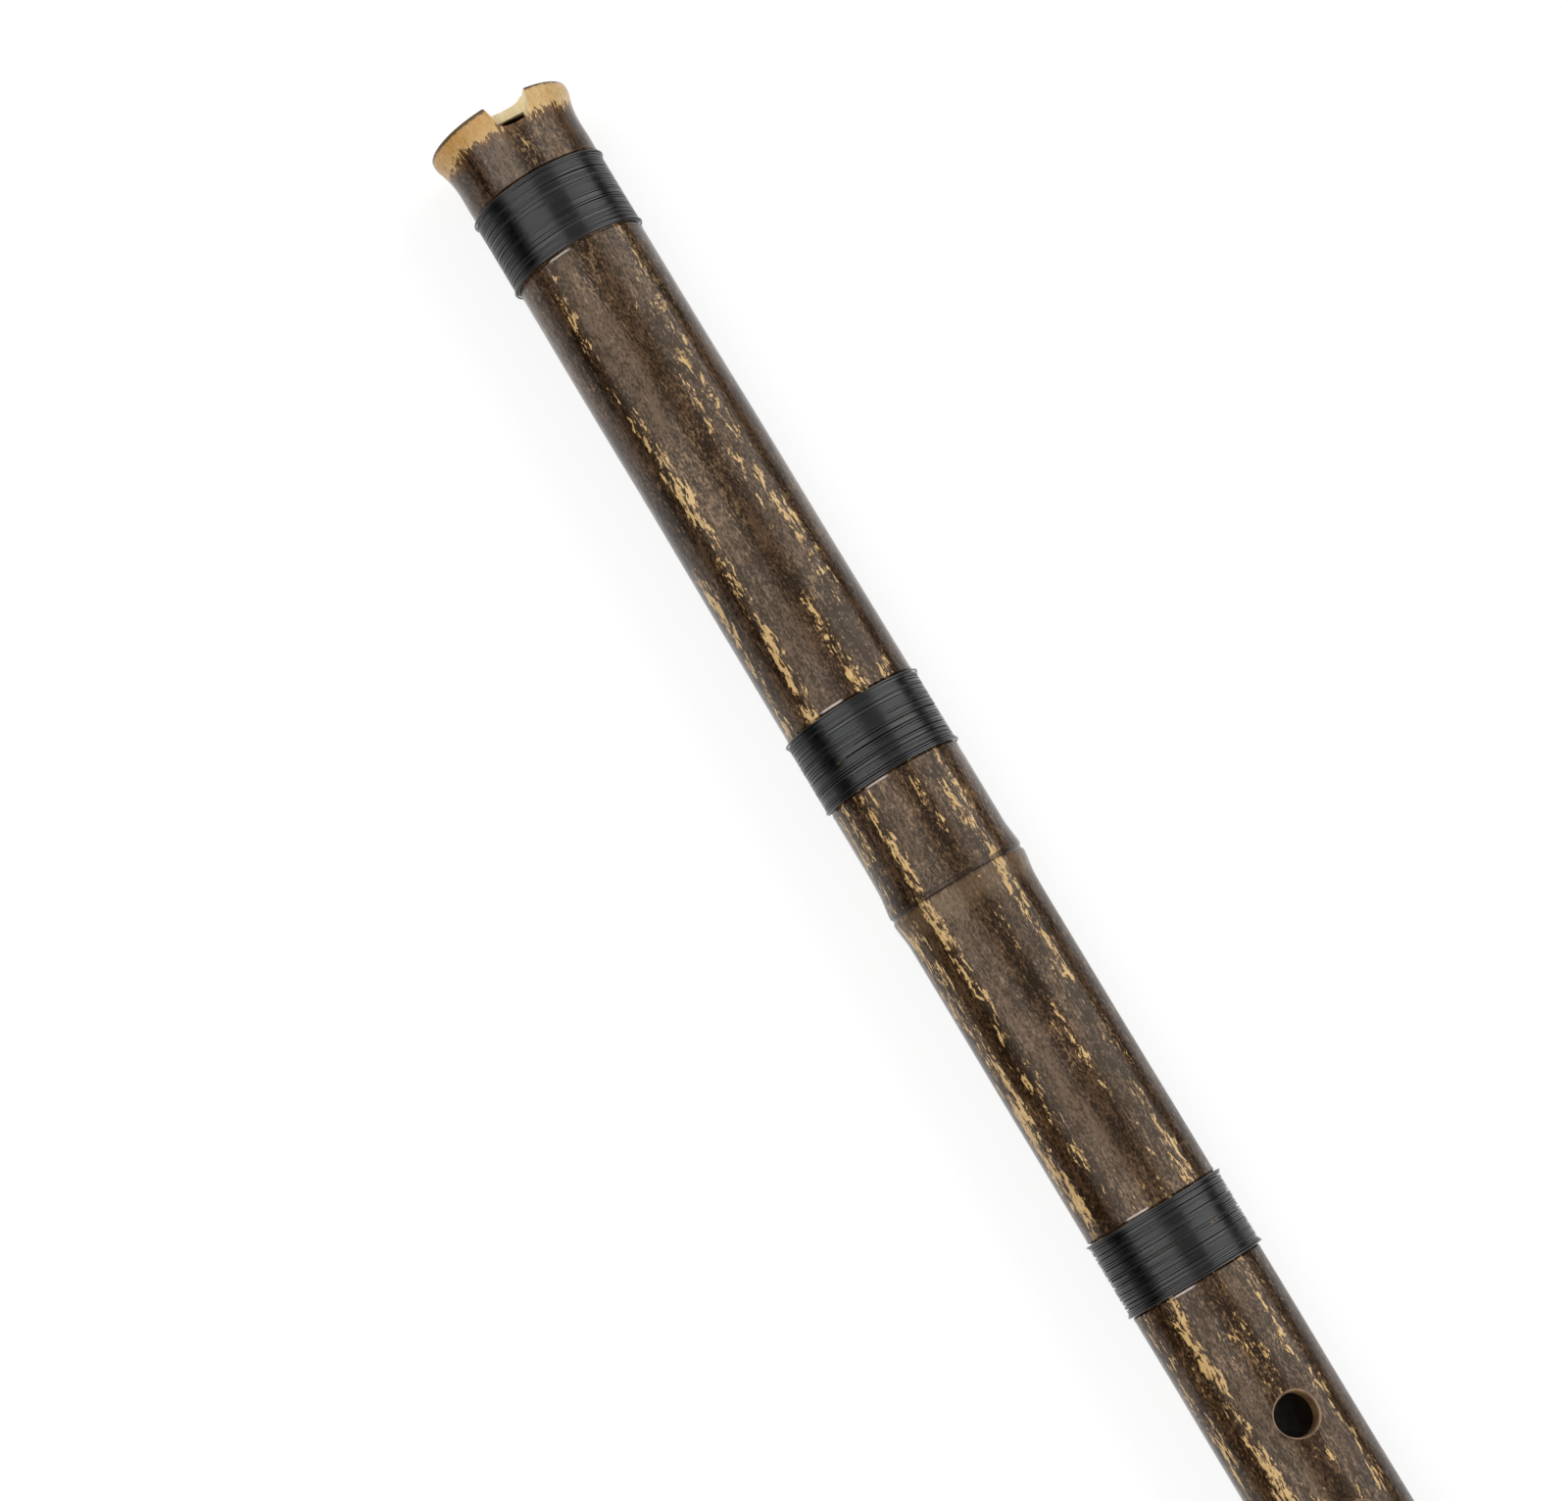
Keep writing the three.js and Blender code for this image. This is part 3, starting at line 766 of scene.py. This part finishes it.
def thread_material():
    """Black waxed thread: two plies twisted together, with long duller and shinier stretches."""
    material, tree, shader, place = new_material("black_waxed_thread")
    length = Wire.node(tree, "ShaderNodeAttribute", {"attribute_name": "thread_length"}, output="Fac")
    around = Wire.node(tree, "ShaderNodeAttribute", {"attribute_name": "thread_around"}, output="Fac")
    ply = ((length / (PLY_LENGTH * MM) + around) * (4 * math.pi)).math("SINE") * 0.5 + 0.5
    wear = place.grain((1.8, 1.8, 1.8), seed=41, detail=3)
    rows = {"W": length / (ROW_LENGTH * MM), "Scale": 1.0, "Detail": 2.0}
    row = Wire.node(tree, "ShaderNodeTexNoise", {"noise_dimensions": "1D"}, rows)
    colour = (wear.step(0.4, 0.7) * 0.5 + ply * 0.2).tint(THREAD_BLACK, THREAD_WORN)
    rough = 0.06 + wear * 0.08 + row.step(0.40, 0.66) * 0.24
    plug(tree, shader, Base_Color=colour, Roughness=rough, Normal=relief(tree, ply, 0.004))
    plug(tree, shader, IOR=1.5, Specular_IOR_Level=0.45)
    return material


def keep_value(tree, geometry, name, value):
    """Store a number on each point, for the thread's material."""
    settings = {"data_type": "FLOAT", "domain": "POINT"}
    inputs = {"Geometry": geometry, "Name": name, "Value": value}
    return Wire.node(tree, "GeometryNodeStoreNamedAttribute", settings, inputs)


def winding_tree(material):
    """Geometry Nodes that wind the two layers of one binding from its sizes."""
    tree = bpy.data.node_groups.new("thread_winding", "GeometryNodeTree")
    tree.interface.new_socket("Geometry", in_out="OUTPUT", socket_type="NodeSocketGeometry")
    sizes = ("Start", "Width", "Seat Radius", "Thread Radius", "Pitch", "Crossing Angle", "Edge Lift")
    for name in sizes:
        tree.interface.new_socket(name, in_out="INPUT", socket_type="NodeSocketFloat")
    tree.interface.new_socket("Seed", in_out="INPUT", socket_type="NodeSocketInt")
    given = Wire.node(tree, "NodeGroupInput")
    size = {name: given.beside(name) for name in (*sizes, "Seed")}
    span = size["Width"] - 2 * size["Thread Radius"] - 2 * EDGE_GAP * MM
    low = size["Seat Radius"] + size["Thread Radius"]
    section = {"Resolution": THREAD_SIDES, "Radius": size["Thread Radius"]}
    ring = Wire.node(tree, "GeometryNodeCurvePrimitiveCircle", inputs=section)
    ring = keep_value(tree, ring, "thread_around", Wire.node(tree, "GeometryNodeSplineParameter"))

    def wind(turns, seed, place_of):
        """One thread: points in a row, set in place by their turn, then given a round section."""
        count = (turns * STEPS_PER_TURN + 1).math("ROUND")
        row = Wire.node(tree, "GeometryNodeMeshLine", inputs={"Count": count})
        turn = Wire.node(tree, "GeometryNodeInputIndex") / STEPS_PER_TURN
        angle = turn * (2 * math.pi) + size["Crossing Angle"]

        # A turn strays from its neighbours by a jog of its own and by a waver along the thread.
        counted = turn + seed * 0.37
        which = counted.math("FLOOR")
        inputs = {"Min": -TURN_JOG * MM, "Max": TURN_JOG * MM, "ID": which, "Seed": size["Seed"] + seed}
        jog = Wire.node(tree, "FunctionNodeRandomValue", {"data_type": "FLOAT"}, inputs, output=1)
        inputs = {"W": turn * 1.7 + size["Seed"] * 3.1 + seed, "Scale": 1.0, "Detail": 1.0}
        waver = Wire.node(tree, "ShaderNodeTexNoise", {"noise_dimensions": "1D"}, inputs)
        along, out = place_of(turn, angle)
        along = along + (waver - 0.5) * (TURN_WAVER * MM) + jog * ((counted - which) * math.pi).math("SINE")
        distance = size["Start"] + size["Thread Radius"] + EDGE_GAP * MM + along
        inputs = {
            "X": LENGTH / 2 * MM - distance,
            "Y": out * angle.math("SINE"),
            "Z": out * angle.math("COSINE") + AXIS_HEIGHT,
        }
        spot = Wire.node(tree, "ShaderNodeCombineXYZ", inputs=inputs)
        row = Wire.node(tree, "GeometryNodeSetPosition", inputs={"Geometry": row, "Position": spot})
        line = Wire.node(tree, "GeometryNodeMeshToCurve", inputs={"Mesh": row})
        run = Wire.node(tree, "GeometryNodeSplineParameter", output="Length")
        line = keep_value(tree, line, "thread_length", run)
        inputs = {"Curve": line, "Profile Curve": ring, "Fill Caps": True}
        return Wire.node(tree, "GeometryNodeCurveToMesh", inputs=inputs)

    def first_layer(turn, _):
        return turn * size["Pitch"], low

    def second_layer(turn, angle):
        """Two turns make one round: one on each side of the band, with a crossing between them."""
        swing = (turn * math.pi).math("SINE")
        reach = math.sin(CROSSING_HALF_ANGLE / 2)
        side = (0 - swing).step(-reach, reach)
        along = side * (span / 2) + turn * 0.5 * size["Pitch"]

        # Beside a crossing, the stretch of a turn on the band's mouth side rides up over the others.
        raised = swing.step(0.0, reach * 0.10) * (1 - swing.step(reach * 0.45, reach * 1.05))
        edge = EDGE_WIDTH * MM
        near_edge = (edge - along).math("MAXIMUM", along - span + edge) / edge
        sideways = angle.math("SINE")
        lift = near_edge.step(0.0, 1.0) * sideways * sideways * size["Edge Lift"]
        return along, low + LAYER_RISE * MM + raised * (CROSSING_RISE * MM) + lift

    turns = span / size["Pitch"]
    joined = tree.nodes.new("GeometryNodeJoinGeometry")
    for seed, layer in ((1, first_layer), (2, second_layer)):
        tree.links.new(wind(turns, seed, layer).socket, joined.inputs[0])
    made = Wire.node(tree, "GeometryNodeSetShadeSmooth", inputs={"Geometry": Wire(tree, joined.outputs[0])})
    made = Wire.node(tree, "GeometryNodeRealizeInstances", inputs={"Geometry": made})
    made = Wire.node(tree, "GeometryNodeSetMaterial", inputs={"Geometry": made, "Material": material})
    Wire.node(tree, "NodeGroupOutput", inputs={"Geometry": made})
    return tree


winding = winding_tree(thread_material())
sockets = {item.name: item.identifier for item in winding.interface.items_tree if item.in_out == "INPUT"}
for number, (name, start, width, crossing) in enumerate(BINDINGS):
    binding = bpy.data.objects.new(f"thread_{name}", bpy.data.meshes.new(f"thread_{name}"))
    bpy.context.scene.collection.objects.link(binding)
    wind = binding.modifiers.new("winding", "NODES")
    wind.node_group = winding
    seat = float(round_radius(np.array(start + width / 2))) - SEAT_DEPTH
    values = {
        "Start": start * MM,
        "Width": width * MM,
        "Seat Radius": seat * MM,
        "Thread Radius": THREAD * MM,
        "Pitch": THREAD_PITCH * MM,
        "Crossing Angle": math.radians(crossing),
        "Edge Lift": EDGE_LIFT * MM,
        "Seed": number,
    }
    for socket, value in values.items():
        wind[sockets[socket]] = value
    view = bpy.context.evaluated_depsgraph_get()
    wound = bpy.data.meshes.new_from_object(binding.evaluated_get(view))
    binding.modifiers.clear()
    binding.data = wound
    print(binding.name, len(wound.polygons), "faces")
    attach(binding, "root")
    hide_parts(f"binding_{name}")


# The table, the light and the camera
# A white table under a white sky. Two long soft boxes, one on each side above the flute, give the two broad
# streaks of reflection, and the camera looks down at the mouth end.
FLOOR_HALF_SIZE = 30.0
FLOOR_COLOUR = 0.34
FLOOR_GLOW = 0.27
FLOOR_GLOW_SEEN = 0.73
FLOOR_GLOW_FAR = 1.0
ROOM_LIGHT = 0.30


def seen_directly(tree):
    """1 for rays from the camera, and for those that a glossy or clear surface sends on."""
    path = Wire.node(tree, "ShaderNodeLightPath", output="Is Camera Ray")
    return greatest([path, path.beside("Is Glossy Ray"), path.beside("Is Transmission Ray")])


corners = [(x * FLOOR_HALF_SIZE, y * FLOOR_HALF_SIZE, 0) for x, y in ((-1, -1), (1, -1), (1, 1), (-1, 1))]
floor = mesh_object("table", corners, [(0, 1, 2, 3)])
material, tree, shader, place = new_material("table_paint")
plug(tree, shader, Base_Color=(FLOOR_COLOUR,) * 3, Roughness=0.9, Specular_IOR_Level=0.0)
# The glow grows away from the flute, where the lamps light the table less.
reach = place.vector("LENGTH", output="Value")
extra = FLOOR_GLOW_SEEN - FLOOR_GLOW + reach.step(0.35, 1.5) * (FLOOR_GLOW_FAR - FLOOR_GLOW_SEEN)
glow = FLOOR_GLOW + seen_directly(tree) * extra
plug(tree, shader, Emission_Color=glow.tint((0, 0, 0), (1, 1, 1)), Emission_Strength=1.0)
floor.data.materials.append(material)

world = bpy.data.worlds.new("white_room")
bpy.context.scene.world = world
world.use_nodes = True
background = world.node_tree.nodes["Background"]
background.inputs["Color"].default_value = (1, 1, 1, 1)
strength = ROOM_LIGHT + seen_directly(world.node_tree) * (1 - ROOM_LIGHT)
world.node_tree.links.new(strength.socket, background.inputs["Strength"])

# Each soft box has a side, and a nearest and farthest angle from overhead. It lights the flute at a plain
# level, and a second lamp in the same place is seen only in the gloss. Distances are in metres.
SOFT_BOXES = ((1, 12.0, 68.0), (-1, 24.5, 77.0))
STREAK_INSET = 6.0
BOX_RADIANCE = 1.57
STREAK_RADIANCE = 1.7
BOX_DISTANCE = 0.75
BOX_LENGTH = 1.5
BOX_MIDDLE = 0.10


def soft_box(name, side, near, far, distance, radiance):
    middle, half = math.radians((near + far) / 2), math.radians((far - near) / 2)
    width = 2 * distance * math.tan(half)
    lamp = bpy.data.lights.new(name, "AREA")
    lamp.shape = "RECTANGLE"
    lamp.size, lamp.size_y = BOX_LENGTH, width
    lamp.energy = radiance * math.pi * BOX_LENGTH * width
    box = bpy.data.objects.new(name, lamp)
    away = Vector((0, side * math.sin(middle), math.cos(middle)))
    box.location = Vector((BOX_MIDDLE, 0, AXIS_HEIGHT)) + away * distance
    box.rotation_euler = Euler((-side * middle, 0, 0))
    box.visible_camera = False
    bpy.context.scene.collection.objects.link(box)
    return box


for side, near, far in SOFT_BOXES:
    soft_box("soft_box", side, near, far, BOX_DISTANCE, BOX_RADIANCE)
    inset = STREAK_INSET if side > 0 else 0
    streak = soft_box("streak", side, near + inset, far, BOX_DISTANCE - MM, STREAK_RADIANCE)
    streak.visible_diffuse = False

# A low dark card along each side darkens the two lines where the gloss meets the horizon. Each has a side,
# and a distance and a height in millimetres. Its ends and its gap above the table are in metres.
CARDS = ((1, 60.0, 32.0), (-1, 120.0, 36.0))
CARD_FOOT_END = -0.8
CARD_MOUTH_END = 0.9
CARD_GAP = 0.0005
for side, distance, height in CARDS:
    y, top = side * distance * MM, height * MM
    corners = [(CARD_FOOT_END, y, CARD_GAP), (CARD_MOUTH_END, y, CARD_GAP)]
    corners += [(CARD_MOUTH_END, y, top), (CARD_FOOT_END, y, top)]
    card = mesh_object("dark_card", corners, [(0, 1, 2, 3)])
    material, tree, shader, place = new_material("dark_card_paint")
    plug(tree, shader, Base_Color=(0.01,) * 3, Roughness=0.9, Specular_IOR_Level=0.0)
    card.data.materials.append(material)
    card.visible_camera = card.visible_diffuse = card.visible_shadow = False

CAMERA_PLACE = Vector((0.1318, 0.1843, 0.77409))
CAMERA_RIGHT = Vector((-0.5105, -0.8511, 0.1229))
CAMERA_BACK = Vector((-0.1273, 0.2161, 0.968))
CAMERA_LENS = 99.64
SENSOR_WIDTH = 36.0

back = CAMERA_BACK.normalized()
up = back.cross(CAMERA_RIGHT).normalized()
lens = bpy.data.cameras.new("camera")
lens.sensor_width, lens.lens = SENSOR_WIDTH, CAMERA_LENS
lens.clip_start, lens.clip_end = 0.01, 100
camera = bpy.data.objects.new("camera", lens)
turn = Matrix((up.cross(back), up, back)).transposed()
camera.matrix_world = Matrix.Translation(CAMERA_PLACE) @ turn.to_4x4()
bpy.context.scene.collection.objects.link(camera)
bpy.context.scene.camera = camera
bpy.context.scene.view_settings.view_transform = "Standard"
